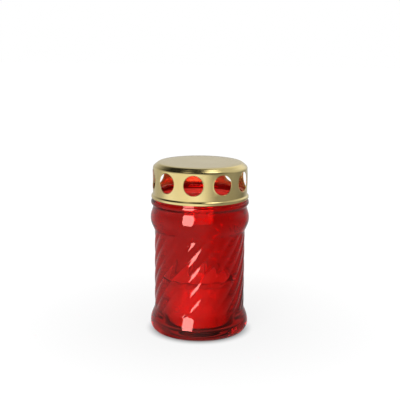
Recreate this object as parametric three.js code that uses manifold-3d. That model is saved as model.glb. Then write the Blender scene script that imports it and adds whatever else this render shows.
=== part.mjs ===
// Sanctuary lamp: a twist-ribbed glass jar, a vented tinplate cap and a candle insert.
// Millimetres, +Z up. The origin is the centre of the circle that the jar stands on.
// Azimuths are counted from -Y, the front, towards +X. One vent of the cap faces the front.

import * as THREE from "three";
import { mergeVertices } from "three/addons/utils/BufferGeometryUtils.js";
import Module from "manifold-3d";

// ---- Overall sizes ----
const overallHeight = 122;
const capDiameter = 67;

// ---- Clearances ----
const seatGap = 0.3; // between pieces that rest on or against each other
const capNeckGap = 0.55; // between the cap's skirt and the jar's neck
const insertNeckGap = 2.8; // between the candle insert's rim and the neck's bore

// ---- Cap ----
const capHeight = 25.2;
const sheet = 0.35; // lacquered tinplate
const shoulderRun = 3.9; // how far the sloping shoulder goes out
const shoulderDrop = 3; // how far it goes down before it rounds over
const shoulderRound = 1.1; // height of the rounding below it
const capEdgeRound = 0.5; // rounding of the top disc's edge
const beadProud = 1.25; // the rolled bottom edge stands out by this much
const beadHeight = 3;
const ventCount = 10;
const ventDiameter = 14.2;
const ventCentreHeight = 13.7; // above the cap's bottom edge

// ---- Jar, outside ----
const neckHeight = 5.3; // above the seat that the cap rests on
const rimRound = 1.3;
const lipProud = 1.25; // the seat's lip stands out past the cap's skirt
const lipDrop = 2.8; // from the seat down to the lip's widest point
const lipRun = 1.35; // how far the lip's rounded top goes in
const seatStep = 0.8; // from the seat down to that top
const seatRun = 0.2; // how far the step's wall leans in
const grooveProud = -0.1;
const grooveDrop = 5.9;
const bulgeProud = 1.5;
const bulgeDrop = 14.1;
const bodyInset = 2.85; // from the bulges in to the rib crests
const ribTopDrop = 23; // from the seat down to the end of the ribs
const ribBottom = 16.6;
const ribCount = 20;
const ribDepth = 0.6;
const ribLead = 238; // height of one full turn of a rib
const ribPhase = 13.8; // azimuth of one crest at the foot of the ribs, degrees
const ribFade = 2.5; // height over which a rib runs out at each end
const footBulgeHeight = 6.4;
const footInset = 5; // from the foot bulge in to the flat that the jar stands on
const footFlat = 6; // width of that flat
const pushUp = 1.6; // the underside's hollow

// ---- Jar, inside ----
const neckWall = 2.8;
const bulgeWall = 3.2;
const bodyWall = 3;
const floorHeight = 4.6;
const floorRound = 4.4;

// ---- Candle insert ----
const cupHeight = 35.3;
const cupWall = 0.6;
const cupFlange = 1; // the rim's overhang
const cupFlangeThickness = 0.8;
const cupDraft = 0.4; // the cup's foot is this much narrower than its mouth
const cupFootRound = 1.1;
const waxFreeboard = 3.7; // from the cup's rim down to the wax
const wickDiameter = 2.4;
const wickAboveWax = 8;
const glueRadius = 5;
const glueThickness = 0.4;
const tabRadius = 9.5;
const tabThickness = 0.3;
const tabTubeWall = 0.4;
const tabTubeHeight = 6.4;

// ---- Fineness ----
const columnsPerRib = 4;
const ribRows = 12;
const jarColumns = ribCount * columnsPerRib;
const capColumns = 60;
const insertColumns = 36;
const smallColumns = 24;
const ventColumns = 28;
const curveSteps = 3;

// ---- Places that follow from the sizes ----
const capRadius = capDiameter / 2;
const capBottom = overallHeight - capHeight;
const seatHeight = capBottom - seatGap;
const neckRadius = capRadius - sheet - capNeckGap;
const neckBore = neckRadius - neckWall;
const rimTop = seatHeight + neckHeight;
const lipRadius = capRadius + lipProud;
const grooveRadius = capRadius + grooveProud;
const bulgeRadius = capRadius + bulgeProud;
const bulgeHeight = seatHeight - bulgeDrop;
const bodyRadius = bulgeRadius - bodyInset;
const bodyBore = bodyRadius - bodyWall;
const ribTop = seatHeight - ribTopDrop;
const cupRimRadius = neckBore - insertNeckGap;
const cupRadius = cupRimRadius - cupFlange;
const cupFootRadius = cupRadius - cupDraft;
const cupBottom = floorHeight + seatGap;
const cupTop = cupBottom + cupHeight;
const cupFloor = cupBottom + cupWall;
const waxBottom = cupFloor + seatGap;
const waxTop = cupTop - waxFreeboard;
const glueTop = waxBottom + glueThickness;
const tabBottom = glueTop + seatGap;
const tabTop = tabBottom + tabThickness;
const tubeTop = tabTop + tabTubeHeight;
const wickRadius = wickDiameter / 2;
const tubeBore = wickRadius + seatGap;
const tubeRadius = tubeBore + tabTubeWall;
const wickTop = waxTop + wickAboveWax;

/** Turns an outline of (radius, height) points about the Z axis. Material is on the outline's left. */
function turned(points, columns) {
  return new THREE.LatheGeometry(points, columns).rotateX(Math.PI / 2);
}

/** The points of a path, with its curves cut into equal steps. */
function pointsOf(path) {
  return path.getPoints(curveSteps);
}

/** A closed outline for a ring: the path's points and its first point again. */
function ringPointsOf(path) {
  const points = pointsOf(path);
  return [...points, points[0].clone()];
}

function material(color, roughness, metalness) {
  return new THREE.MeshStandardMaterial({ color, roughness, metalness });
}

function piece(name, geometry, finish) {
  const mesh = new THREE.Mesh(geometry, finish);
  mesh.name = name;
  return mesh;
}

// ---- Glass jar ----

/** Half of the jar's section, from the hollow under its foot round to the middle of its floor. */
function jarOutline() {
  const footRadius = bulgeRadius - footInset;
  const bulgeBore = bulgeRadius - bulgeWall;
  const path = new THREE.Path();
  path.moveTo(0, pushUp);
  path.bezierCurveTo(
    footRadius * 0.5, pushUp,
    footRadius - footFlat - 2, pushUp * 0.3,
    footRadius - footFlat, 0,
  );
  path.lineTo(footRadius, 0);
  path.bezierCurveTo(
    footRadius + footInset * 0.55, 0,
    bulgeRadius, footBulgeHeight * 0.45,
    bulgeRadius, footBulgeHeight,
  );
  const footRise = ribBottom - footBulgeHeight;
  path.bezierCurveTo(
    bulgeRadius, footBulgeHeight + footRise * 0.36,
    bodyRadius + bodyInset * 0.62, footBulgeHeight + footRise * 0.56,
    bodyRadius, ribBottom,
  );
  for (let row = 1; row <= ribRows; row += 1) {
    path.lineTo(bodyRadius, ribBottom + ((ribTop - ribBottom) * row) / ribRows);
  }
  const neckRise = bulgeHeight - ribTop;
  path.bezierCurveTo(
    bodyRadius + bodyInset * 0.55, ribTop + neckRise * 0.42,
    bulgeRadius, ribTop + neckRise * 0.62,
    bulgeRadius, bulgeHeight,
  );
  const grooveHeight = seatHeight - grooveDrop;
  const grooveRise = grooveHeight - bulgeHeight;
  path.bezierCurveTo(
    bulgeRadius, bulgeHeight + grooveRise * 0.53,
    grooveRadius, bulgeHeight + grooveRise * 0.67,
    grooveRadius, grooveHeight,
  );
  const lipRise = grooveDrop - lipDrop;
  path.bezierCurveTo(
    grooveRadius, grooveHeight + lipRise * 0.45,
    lipRadius, grooveHeight + lipRise * 0.58,
    lipRadius, grooveHeight + lipRise,
  );
  const lipTop = seatHeight - seatStep;
  const lipEdge = lipRadius - lipRun;
  path.bezierCurveTo(
    lipRadius, lipTop - (lipDrop - seatStep) * 0.4,
    lipRadius - lipRun * 0.4, lipTop,
    lipEdge, lipTop,
  );
  path.lineTo(lipEdge - seatRun, seatHeight);
  path.lineTo(neckRadius, seatHeight);
  path.lineTo(neckRadius, rimTop - rimRound);
  path.quadraticCurveTo(neckRadius, rimTop, neckRadius - neckWall / 2, rimTop);
  path.quadraticCurveTo(neckBore, rimTop, neckBore, rimTop - rimRound);
  path.lineTo(neckBore, grooveHeight + 1);
  path.bezierCurveTo(
    neckBore, bulgeHeight + grooveRise * 0.6,
    bulgeBore, bulgeHeight + grooveRise * 0.5,
    bulgeBore, bulgeHeight,
  );
  path.bezierCurveTo(
    bulgeBore, ribTop + neckRise * 0.55,
    bodyBore, ribTop + neckRise * 0.45,
    bodyBore, ribTop,
  );
  path.lineTo(bodyBore, floorHeight + floorRound);
  path.quadraticCurveTo(bodyBore, floorHeight, bodyBore - floorRound, floorHeight);
  path.lineTo(0, floorHeight);
  return pointsOf(path);
}

/** How much of a rib's full depth is there at a height: none in the bulges, all in the body. */
function ribStrength(height) {
  const fromEnd = Math.min(height - ribBottom, ribTop - height);
  return THREE.MathUtils.smoothstep(fromEnd, 0, ribFade);
}

/** Whether a point of the jar is on its inner wall or floor. */
function isInside(radius, height) {
  return height > (floorHeight + pushUp) / 2 && radius < bodyBore + bodyWall / 2;
}

/**
 * Turns the rings of the jar's outside along the ribs and cuts the flutes between the ribs into it.
 * The inner wall stays straight: all of it is turned as far as the rim is.
 */
function ribbed(geometry) {
  const position = geometry.attributes.position;
  for (let index = 0; index < position.count; index += 1) {
    const x = position.getX(index);
    const y = position.getY(index);
    const height = position.getZ(index);
    const radius = Math.hypot(x, y);
    const inside = isInside(radius, height);
    const climb = inside ? ribTop : THREE.MathUtils.clamp(height, ribBottom, ribTop);
    const twist = (2 * Math.PI * (climb - ribBottom)) / ribLead;
    const column = Math.atan2(x, -y);
    const azimuth = column + THREE.MathUtils.degToRad(ribPhase) + twist;
    const flute = 1 - Math.abs(Math.cos((column * ribCount) / 2));
    const cut = inside ? 0 : ribDepth * ribStrength(height) * flute;
    position.setXYZ(
      index,
      (radius - cut) * Math.sin(azimuth),
      -(radius - cut) * Math.cos(azimuth),
      height,
    );
  }
  return geometry;
}

function glassJar() {
  const geometry = ribbed(turned(jarOutline(), jarColumns));
  return piece("glass_jar", geometry, material(0xa80a0c, 0.05, 0));
}

// ---- Vented cap ----

/** One side of the cap's sheet, from the axis down to the start of the rolled edge. */
function addCapSide(path, inset) {
  const skirt = capRadius - inset;
  const top = overallHeight - inset;
  const slopeStart = capRadius - shoulderRun - inset * 0.4;
  path.lineTo(slopeStart - capEdgeRound, top);
  path.quadraticCurveTo(slopeStart, top, slopeStart + capEdgeRound * 0.7, top - capEdgeRound * 0.6);
  path.lineTo(skirt - shoulderRound * 0.45, top - shoulderDrop + shoulderRound * 0.3);
  path.quadraticCurveTo(skirt, top - shoulderDrop, skirt, top - shoulderDrop - shoulderRound);
}

/** Half of the cap's section: down its inside, round the rolled edge, and up its outside. */
function capOutline() {
  const inside = new THREE.Path();
  inside.moveTo(0, overallHeight - sheet);
  addCapSide(inside, sheet);
  inside.lineTo(capRadius - sheet, capBottom);
  const outside = new THREE.Path();
  outside.moveTo(0, overallHeight);
  addCapSide(outside, 0);
  outside.lineTo(capRadius, capBottom + beadHeight);
  outside.bezierCurveTo(
    capRadius + beadProud * 0.9, capBottom + beadHeight * 0.8,
    capRadius + beadProud * 1.4, capBottom,
    capRadius, capBottom,
  );
  return [...pointsOf(inside), ...pointsOf(outside).reverse()];
}

/** The rod that cuts one vent, pointing outwards at an azimuth. */
function ventRod(azimuth) {
  const geometry = new THREE.CylinderGeometry(
    ventDiameter / 2, ventDiameter / 2, capRadius, ventColumns,
  );
  geometry.translate(0, -capRadius, 0);
  geometry.rotateZ(azimuth);
  geometry.translate(0, 0, capBottom + ventCentreHeight);
  return geometry;
}

function solidOf(wasm, geometry) {
  geometry.deleteAttribute("normal");
  geometry.deleteAttribute("uv");
  const merged = mergeVertices(geometry);
  return new wasm.Manifold(new wasm.Mesh({
    numProp: 3,
    vertProperties: new Float32Array(merged.attributes.position.array),
    triVerts: new Uint32Array(merged.index.array),
  }));
}

function geometryOf(solid) {
  const mesh = solid.getMesh();
  const geometry = new THREE.BufferGeometry();
  geometry.setAttribute("position", new THREE.BufferAttribute(mesh.vertProperties, 3));
  geometry.setIndex(new THREE.BufferAttribute(mesh.triVerts, 1));
  geometry.computeVertexNormals();
  return geometry;
}

function ventCap(wasm) {
  let cap = solidOf(wasm, turned(capOutline(), capColumns));
  for (let vent = 0; vent < ventCount; vent += 1) {
    cap = cap.subtract(solidOf(wasm, ventRod((2 * Math.PI * vent) / ventCount)));
  }
  return piece("vent_cap", geometryOf(cap), material(0xcdb97e, 0.25, 1));
}

// ---- Candle insert ----

/** The cup's inner radius at a height, which follows the draft of its side. */
function cupBoreAt(height) {
  return cupFootRadius - cupWall + (cupDraft * (height - cupBottom)) / cupHeight;
}

function insertCup() {
  const path = new THREE.Path();
  path.moveTo(0, cupBottom);
  path.lineTo(cupFootRadius - cupFootRound, cupBottom);
  path.quadraticCurveTo(cupFootRadius, cupBottom, cupFootRadius, cupBottom + cupFootRound);
  path.lineTo(cupRadius, cupTop - cupFlangeThickness);
  path.lineTo(cupRimRadius, cupTop - cupFlangeThickness);
  path.lineTo(cupRimRadius, cupTop);
  path.lineTo(cupRadius - cupWall, cupTop);
  path.lineTo(cupBoreAt(cupFloor + cupFootRound), cupFloor + cupFootRound);
  path.quadraticCurveTo(cupBoreAt(cupFloor), cupFloor, cupBoreAt(cupFloor) - cupFootRound, cupFloor);
  path.lineTo(0, cupFloor);
  return piece("insert_cup", turned(pointsOf(path), insertColumns), material(0xe6e6e0, 0.2, 0));
}

/** The wax, cast round the wick, the tab's tube and the tab's disc. */
function waxFill() {
  const path = new THREE.Path();
  const bottomRadius = cupBoreAt(waxBottom) - seatGap;
  const pocketRadius = tabRadius + seatGap;
  path.moveTo(pocketRadius, waxBottom);
  path.lineTo(bottomRadius - cupFootRound, waxBottom);
  path.quadraticCurveTo(bottomRadius, waxBottom, bottomRadius, waxBottom + cupFootRound);
  path.lineTo(cupBoreAt(waxTop) - seatGap, waxTop);
  path.lineTo(tubeBore, waxTop);
  path.lineTo(tubeBore, tubeTop + seatGap);
  path.lineTo(tubeRadius + seatGap, tubeTop + seatGap);
  path.lineTo(tubeRadius + seatGap, tabTop + seatGap);
  path.lineTo(pocketRadius, tabTop + seatGap);
  return piece("wax_fill", turned(ringPointsOf(path), insertColumns), material(0xf4efe2, 0.6, 0));
}

function wick() {
  const length = wickTop - tabBottom;
  const geometry = new THREE.CylinderGeometry(wickRadius, wickRadius, length, smallColumns);
  geometry.rotateX(Math.PI / 2);
  geometry.translate(0, 0, tabBottom + length / 2);
  return piece("wick", geometry, material(0xe9e2cf, 0.9, 0));
}

/** The tin disc that keeps the wick upright, with the tube that grips it. */
function wickTab() {
  const path = new THREE.Path();
  path.moveTo(tubeBore, tabBottom);
  path.lineTo(tabRadius, tabBottom);
  path.lineTo(tabRadius, tabTop);
  path.lineTo(tubeRadius, tabTop);
  path.lineTo(tubeRadius, tubeTop);
  path.lineTo(tubeBore, tubeTop);
  return piece("wick_tab", turned(ringPointsOf(path), smallColumns), material(0xb9bbbb, 0.35, 1));
}

function glueDot() {
  const geometry = new THREE.CylinderGeometry(glueRadius, glueRadius, glueThickness, smallColumns);
  geometry.rotateX(Math.PI / 2);
  geometry.translate(0, 0, waxBottom + glueThickness / 2);
  return piece("glue_dot", geometry, material(0xe8dfc0, 0.5, 0));
}

// ---- The lamp ----

const wasm = await Module();
wasm.setup();

const candleInsert = new THREE.Group();
candleInsert.add(insertCup(), waxFill(), wick(), wickTab(), glueDot());

const lamp = new THREE.Group();
lamp.add(glassJar(), ventCap(wasm), candleInsert);

export default lamp;
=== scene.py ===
"""A sanctuary lamp: a ruby glass jar with twisted ribs, a gold vented cap and a candle insert.

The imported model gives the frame, in metres, +Z up, with the front towards -Y. Every piece here
stands for one of its nodes and rides on that node's body.
"""

from __future__ import annotations

import logging
import math
from dataclasses import dataclass, field
from enum import Enum
from typing import Any, Callable, Iterable

import bpy
from mathutils import Matrix, Vector
from mathutils.geometry import interpolate_bezier

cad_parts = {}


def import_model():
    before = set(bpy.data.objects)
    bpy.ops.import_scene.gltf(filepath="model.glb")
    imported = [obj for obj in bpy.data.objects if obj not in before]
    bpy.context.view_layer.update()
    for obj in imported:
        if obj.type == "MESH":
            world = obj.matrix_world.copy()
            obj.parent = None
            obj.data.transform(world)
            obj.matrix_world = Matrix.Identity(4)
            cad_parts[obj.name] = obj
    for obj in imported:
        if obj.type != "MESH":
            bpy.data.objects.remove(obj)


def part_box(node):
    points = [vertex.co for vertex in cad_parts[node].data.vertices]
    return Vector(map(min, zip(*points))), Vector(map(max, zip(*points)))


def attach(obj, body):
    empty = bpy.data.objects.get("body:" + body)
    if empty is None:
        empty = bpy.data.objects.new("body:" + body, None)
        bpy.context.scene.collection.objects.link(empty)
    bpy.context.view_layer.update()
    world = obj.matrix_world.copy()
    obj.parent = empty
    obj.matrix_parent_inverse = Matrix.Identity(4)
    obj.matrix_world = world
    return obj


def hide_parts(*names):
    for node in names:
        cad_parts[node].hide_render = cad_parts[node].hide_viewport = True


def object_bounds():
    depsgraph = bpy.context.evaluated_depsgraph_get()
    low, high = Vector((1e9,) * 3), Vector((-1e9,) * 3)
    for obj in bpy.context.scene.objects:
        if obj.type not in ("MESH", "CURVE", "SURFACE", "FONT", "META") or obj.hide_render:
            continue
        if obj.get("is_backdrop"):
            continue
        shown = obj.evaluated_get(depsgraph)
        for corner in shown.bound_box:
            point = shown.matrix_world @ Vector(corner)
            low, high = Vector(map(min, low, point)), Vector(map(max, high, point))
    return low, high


log = logging.getLogger("lamp")

MM = 0.001


class Body(Enum):
    """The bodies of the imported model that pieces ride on."""

    JAR = "jar"
    CAP = "cap"
    CANDLE = "candle"


def linear(hex_colour: str) -> tuple[float, float, float, float]:
    """Turns an sRGB hex colour into linear RGBA.

    Args:
        hex_colour: six hex digits, such as "c8102e".

    Returns:
        The linear colour, fully opaque.
    """
    channels = [int(hex_colour[i : i + 2], 16) / 255 for i in (0, 2, 4)]
    toned = [c / 12.92 if c <= 0.04045 else ((c + 0.055) / 1.055) ** 2.4 for c in channels]
    return (toned[0], toned[1], toned[2], 1.0)


def deselect_all() -> None:
    """Leaves edit mode and deselects every object."""
    if bpy.context.object and bpy.context.object.mode != "OBJECT":
        bpy.ops.object.mode_set(mode="OBJECT")
    bpy.ops.object.select_all(action="DESELECT")


def make_active(piece: bpy.types.Object) -> None:
    """Selects one object and nothing else."""
    deselect_all()
    piece.select_set(True)
    bpy.context.view_layer.objects.active = piece


def apply_modifier(piece: bpy.types.Object, kind: str, **settings: Any) -> None:
    """Adds a modifier to a piece, sets it and applies it.

    Args:
        piece: the object to change.
        kind: the modifier's type, such as "SOLIDIFY".
        settings: the modifier's properties by name.
    """
    make_active(piece)
    modifier = piece.modifiers.new(kind.lower(), kind)
    for name, value in settings.items():
        setattr(modifier, name, value)
    bpy.ops.object.modifier_apply(modifier=modifier.name)


# ---- Outlines and turned shapes ----


@dataclass
class Outline:
    """Half of a turned piece's section, as points of (radius, height) in metres."""

    points: list[tuple[float, float]] = field(default_factory=list)

    def line(self, radius: float, height: float, steps: int = 1) -> Outline:
        """Goes straight to a point.

        Args:
            radius: the end's distance from the axis.
            height: the end's height.
            steps: how many equal pieces the line is cut into.

        Returns:
            The outline itself.
        """
        if not self.points:
            self.points.append((radius, height))
            return self
        r0, h0 = self.points[-1]
        for step in range(1, steps + 1):
            share = step / steps
            self.points.append((r0 + (radius - r0) * share, h0 + (height - h0) * share))
        return self

    def curve(
        self,
        handle_a: tuple[float, float],
        handle_b: tuple[float, float],
        end: tuple[float, float],
        steps: int = 8,
    ) -> Outline:
        """Goes to a point along a Bezier curve.

        Args:
            handle_a: the first control point, as (radius, height).
            handle_b: the second control point.
            end: the curve's end.
            steps: how many pieces the curve is cut into.

        Returns:
            The outline itself.
        """
        start = Vector((*self.points[-1], 0))
        knots = [Vector((*point, 0)) for point in (handle_a, handle_b, end)]
        curve = interpolate_bezier(start, knots[0], knots[1], knots[2], steps + 1)
        self.points.extend((point.x, point.y) for point in curve[1:])
        return self

    def arc(
        self, centre: tuple[float, float], radius: float, start: float, end: float, steps: int = 8
    ) -> Outline:
        """Goes round a circle.

        Args:
            centre: the circle's centre, as (radius, height).
            radius: the circle's own radius.
            start: the angle it starts at, in degrees from straight outwards.
            end: the angle it ends at.
            steps: how many pieces the arc is cut into.

        Returns:
            The outline itself.
        """
        for step in range(steps + 1):
            angle = math.radians(start + (end - start) * step / steps)
            point = (centre[0] + radius * math.cos(angle), centre[1] + radius * math.sin(angle))
            if not self.points or math.dist(point, self.points[-1]) > 1e-7:
                self.points.append(point)
        return self


def turn_outline(name: str, outline: Outline, columns: int, smooth_angle: float = 40) -> bpy.types.Object:
    """Draws an outline as a chain of vertices and spins it round the Z axis.

    Args:
        name: the new object's name.
        outline: the section, which starts and ends on the axis or closes on itself.
        columns: how many columns of faces go round.
        smooth_angle: the angle between faces, in degrees, below which the shading is smooth.

    Returns:
        The turned object, closed and with its faces pointing outwards.
    """
    piece = draw_chain(name, [Vector((radius, 0, height)) for radius, height in outline.points])
    bpy.ops.mesh.select_all(action="SELECT")
    bpy.ops.mesh.spin(steps=columns, angle=2 * math.pi, center=(0, 0, 0), axis=(0, 0, 1))
    finish_mesh(piece, smooth_angle)
    return piece


def draw_chain(name: str, points: list[Vector]) -> bpy.types.Object:
    """Draws a chain of vertices by extruding one vertex from point to point.

    Args:
        name: the new object's name.
        points: the points to go through.

    Returns:
        The object, in edit mode.
    """
    deselect_all()
    bpy.ops.mesh.primitive_plane_add(size=MM, location=points[0])
    piece = bpy.context.object
    piece.name = piece.data.name = name
    bpy.ops.object.transform_apply(location=True, rotation=True, scale=True)
    bpy.ops.object.mode_set(mode="EDIT")
    bpy.ops.mesh.select_mode(type="VERT")
    bpy.ops.mesh.select_all(action="SELECT")
    bpy.ops.mesh.merge(type="CENTER")
    for start, end in zip(points, points[1:]):
        bpy.ops.mesh.extrude_vertices_move(TRANSFORM_OT_translate={"value": end - start})
    return piece


def select_where(piece: bpy.types.Object, chosen: Callable[[Vector], bool], kind: str = "VERT") -> None:
    """Selects, in edit mode, the vertices at chosen places, or the faces with chosen centres.

    Args:
        piece: the active object.
        chosen: says of a place whether what is there is selected.
        kind: "VERT" for vertices, with the edges between them, or "FACE" for faces.
    """
    bpy.ops.object.mode_set(mode="EDIT")
    bpy.ops.mesh.select_mode(type=kind)
    bpy.ops.mesh.select_all(action="DESELECT")
    bpy.ops.object.mode_set(mode="OBJECT")
    if kind == "FACE":
        for polygon in piece.data.polygons:
            polygon.select = chosen(polygon.center)
    else:
        for vertex in piece.data.vertices:
            vertex.select = chosen(vertex.co)
    bpy.ops.object.mode_set(mode="EDIT")
    if kind == "VERT":
        bpy.ops.mesh.select_mode(type="EDGE")


def follow_rings(points: list[tuple[float, float]]) -> None:
    """Extrudes the selected ring through (radius, height) points; the first is where it is now."""
    for (r0, h0), (r1, h1) in zip(points, points[1:]):
        bpy.ops.mesh.extrude_edges_move(TRANSFORM_OT_translate={"value": (0, 0, h1 - h0)})
        bpy.ops.transform.resize(value=(r1 / r0, r1 / r0, 1), center_override=(0, 0, h1))


def turn_object(piece: bpy.types.Object, angle: float) -> None:
    """Turns a piece about the Z axis by an angle in radians, in its mesh."""
    make_active(piece)
    piece.rotation_euler.z = angle
    bpy.ops.object.transform_apply(location=True, rotation=True, scale=True)


def finish_mesh(piece: bpy.types.Object, smooth_angle: float = 40) -> None:
    """Merges doubles, turns all faces outwards and smooths the shading below an angle in degrees."""
    make_active(piece)
    bpy.ops.object.mode_set(mode="EDIT")
    bpy.ops.mesh.select_all(action="SELECT")
    bpy.ops.mesh.remove_doubles(threshold=1e-6)
    bpy.ops.mesh.normals_make_consistent(inside=False)
    bpy.ops.object.mode_set(mode="OBJECT")
    bpy.ops.object.shade_smooth_by_angle(angle=math.radians(smooth_angle))


def paint_faces(
    piece: bpy.types.Object,
    materials: list[bpy.types.Material],
    choose: Callable[[Vector], int] = lambda centre: 0,
) -> None:
    """Gives a piece its materials and each face one of them.

    Args:
        piece: the object to paint.
        materials: the materials, in slot order.
        choose: says from a face's centre which slot it takes.
    """
    piece.data.materials.clear()
    for material in materials:
        piece.data.materials.append(material)
    for polygon in piece.data.polygons:
        polygon.material_index = choose(polygon.center)


def hand_over(piece: bpy.types.Object, body: Body, node: str) -> None:
    """Lets a piece stand for its node and ride on its body, and reports it."""
    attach(piece, body.value)
    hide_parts(node)
    log.info("%s: %d faces, rides on %s", piece.name, len(piece.data.polygons), body.value)


# ---- Finishes ----


def add_node(
    tree: bpy.types.NodeTree,
    kind: str,
    settings: dict[str, Any] | None = None,
    inputs: dict[str | int, Any] | None = None,
) -> bpy.types.Node:
    """Adds a node, sets its properties and fills or links its inputs.

    Args:
        tree: the node tree to add to.
        kind: the node's type name.
        settings: the node's own properties.
        inputs: for each input, a value, or an output socket to link from.

    Returns:
        The new node.
    """
    node = tree.nodes.new(kind)
    for name, value in (settings or {}).items():
        setattr(node, name, value)
    for name, value in (inputs or {}).items():
        if isinstance(value, bpy.types.NodeSocket):
            tree.links.new(value, node.inputs[name])
        else:
            node.inputs[name].default_value = value
    return node


def new_material(name: str) -> tuple[bpy.types.Material, bpy.types.NodeTree]:
    """Makes an empty node material.

    Args:
        name: the material's name.

    Returns:
        The material and its node tree.
    """
    material = bpy.data.materials.new(name)
    material.use_nodes = True
    material.node_tree.nodes.clear()
    return material, material.node_tree


def set_ramp(node: bpy.types.Node, stops: Iterable[tuple[float, str]]) -> bpy.types.Node:
    """Sets a colour ramp's stops.

    Args:
        node: the Color Ramp node.
        stops: positions from 0 to 1, each with an sRGB hex colour.

    Returns:
        The same node.
    """
    elements = node.color_ramp.elements
    wanted = list(stops)
    while len(elements) < len(wanted):
        elements.new(1.0)
    for element, (position, colour) in zip(elements, wanted):
        element.position = position
        element.color = linear(colour)
    return node


def finish_material(
    material: bpy.types.Material, tree: bpy.types.NodeTree, inputs: dict[str | int, Any]
) -> bpy.types.Material:
    """Ends a material in one Principled shader.

    Args:
        material: the material.
        tree: its node tree.
        inputs: the shader's inputs, values or sockets.

    Returns:
        The same material.
    """
    shader = add_node(tree, "ShaderNodeBsdfPrincipled", inputs=inputs)
    add_node(tree, "ShaderNodeOutputMaterial", inputs={"Surface": shader.outputs["BSDF"]})
    return material


@dataclass(frozen=True)
class PressedGlass:
    """Soda-lime glass pressed in a mould: a hard clear gloss with a faint, slow waviness.

    The tint is what one wall's skin lets through, and the gleam is the colour of its reflections.
    """

    name: str
    tint: str
    roughness: float
    gleam: str = "ffffff"
    wave: float = 9 * MM
    wave_depth: float = 0.02 * MM

    def material(self) -> bpy.types.Material:
        """Builds the glass as one clear-transmitting shader with a wavy skin."""
        material, tree = new_material(self.name)
        place = add_node(tree, "ShaderNodeTexCoord")
        waves = add_node(
            tree,
            "ShaderNodeTexNoise",
            inputs={"Vector": place.outputs["Object"], "Scale": 1 / self.wave, "Detail": 1.0},
        )
        skin = add_node(
            tree,
            "ShaderNodeBump",
            inputs={"Height": waves.outputs["Fac"], "Distance": self.wave_depth, "Strength": 1.0},
        )
        return finish_material(
            material,
            tree,
            {
                "Base Color": linear(self.tint),
                "Roughness": self.roughness,
                "IOR": 1.46,
                "Specular Tint": linear(self.gleam),
                "Transmission Weight": 1.0,
                "Normal": skin.outputs["Normal"],
            },
        )


@dataclass(frozen=True)
class GoldLacqueredTinplate:
    """Rolled tinplate under a pale gold lacquer: a soft mirror with faint rolling lines and specks."""

    name: str
    colour: str
    deep_colour: str
    roughness: float
    grain: float = 1.1 * MM
    ripple: float = 14 * MM
    ripple_depth: float = 0.02 * MM

    def material(self) -> bpy.types.Material:
        """Builds the lacquered metal with its rolling grain, patchy gloss and slight dents."""
        material, tree = new_material(self.name)
        place = add_node(tree, "ShaderNodeTexCoord")
        # Rolling lines run one way across the sheet, drawn coarser than the real 0.05 mm.
        stretched = add_node(
            tree,
            "ShaderNodeMapping",
            inputs={"Vector": place.outputs["Object"], "Scale": (1.0, 0.06, 1.0)},
        )
        grain = add_node(
            tree,
            "ShaderNodeTexNoise",
            inputs={"Vector": stretched.outputs["Vector"], "Scale": 1 / self.grain, "Detail": 3.0},
        )
        patches = add_node(
            tree,
            "ShaderNodeTexNoise",
            inputs={"Vector": place.outputs["Object"], "Scale": 1 / self.ripple, "Detail": 2.0},
        )
        gloss = add_node(
            tree,
            "ShaderNodeMapRange",
            inputs={
                "Value": grain.outputs["Fac"],
                "To Min": self.roughness * 0.8,
                "To Max": self.roughness * 1.25,
            },
        )
        tone = set_ramp(
            add_node(tree, "ShaderNodeValToRGB", inputs={"Fac": patches.outputs["Fac"]}),
            [(0.3, self.deep_colour), (0.7, self.colour)],
        )
        dents = add_node(
            tree,
            "ShaderNodeBump",
            inputs={"Height": patches.outputs["Fac"], "Distance": self.ripple_depth},
        )
        lines = add_node(
            tree,
            "ShaderNodeBump",
            inputs={
                "Height": grain.outputs["Fac"],
                "Distance": 0.0004 * MM,
                "Normal": dents.outputs["Normal"],
            },
        )
        return finish_material(
            material,
            tree,
            {
                "Base Color": tone.outputs["Color"],
                "Metallic": 1.0,
                "Roughness": gloss.outputs["Result"],
                "Coat Weight": 0.35,
                "Coat Roughness": 0.12,
                "Normal": lines.outputs["Normal"],
            },
        )


@dataclass(frozen=True)
class CastWax:
    """Paraffin wax cast in its cup: milky, light glows in its skin, with a soft, slightly mottled top."""

    name: str
    colour: str
    cloudy: str
    mottle: float = 7 * MM

    def material(self) -> bpy.types.Material:
        """Builds the wax with light scattering in it and a faint crystal mottle."""
        material, tree = new_material(self.name)
        place = add_node(tree, "ShaderNodeTexCoord")
        mottle = add_node(
            tree,
            "ShaderNodeTexNoise",
            inputs={"Vector": place.outputs["Object"], "Scale": 1 / self.mottle, "Detail": 4.0},
        )
        tone = set_ramp(
            add_node(tree, "ShaderNodeValToRGB", inputs={"Fac": mottle.outputs["Fac"]}),
            [(0.35, self.cloudy), (0.65, self.colour)],
        )
        skin = add_node(
            tree,
            "ShaderNodeBump",
            inputs={"Height": mottle.outputs["Fac"], "Distance": 0.12 * MM, "Strength": 0.5},
        )
        return finish_material(
            material,
            tree,
            {
                "Base Color": tone.outputs["Color"],
                "Roughness": 0.42,
                "IOR": 1.44,
                "Subsurface Weight": 0.6,
                "Subsurface Radius": (1.0, 0.8, 0.6),
                "Subsurface Scale": 4 * MM,
                "Normal": skin.outputs["Normal"],
            },
        )


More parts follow.
